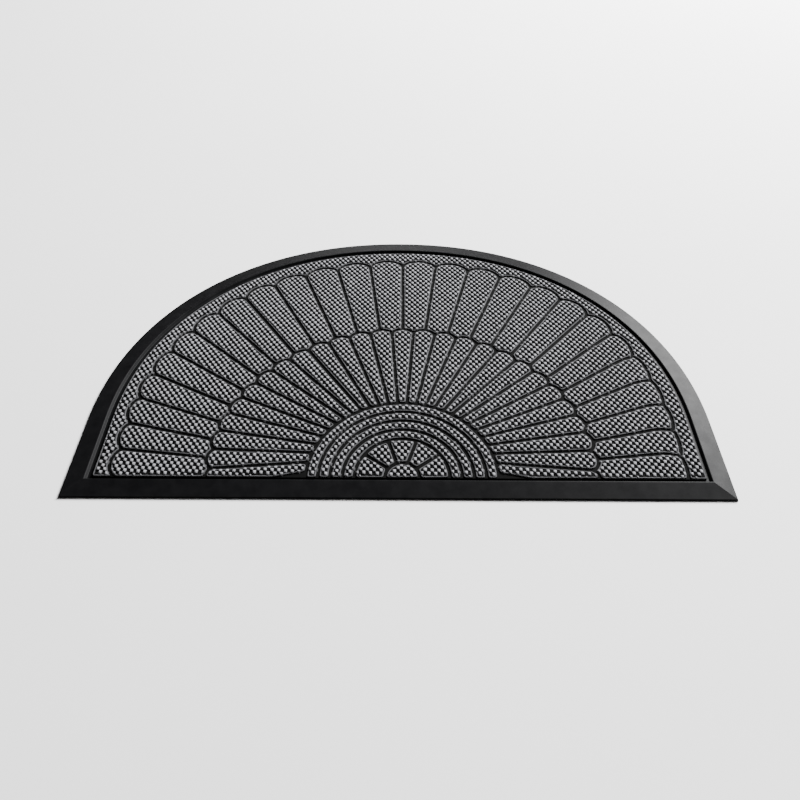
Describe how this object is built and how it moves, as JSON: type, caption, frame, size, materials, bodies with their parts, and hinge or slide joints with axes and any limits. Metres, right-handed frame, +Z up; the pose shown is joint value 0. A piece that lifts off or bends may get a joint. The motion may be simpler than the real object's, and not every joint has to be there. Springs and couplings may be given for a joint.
{
  "type": "doormat",
  "caption": "Half-round doormat: a grey hobnail carpet face with a raised sunburst fan set in a black rubber tray with a bevelled border",
  "frame": {"origin": "centre of the bounding box in plan, on the underside", "axes": "+X along the straight front edge to the right, +Y from the front edge to the rounded back, +Z up"},
  "size_m": [0.6, 0.39, 0.007],
  "materials": {
    "rubber_base": "matt moulded black rubber",
    "carpet_face": "grey needle-punched hobnail carpet"
  },
  "bodies": {
    "root": {"rubber_base": "rubber_base", "carpet_face": "carpet_face"}
  },
  "joints": []
}
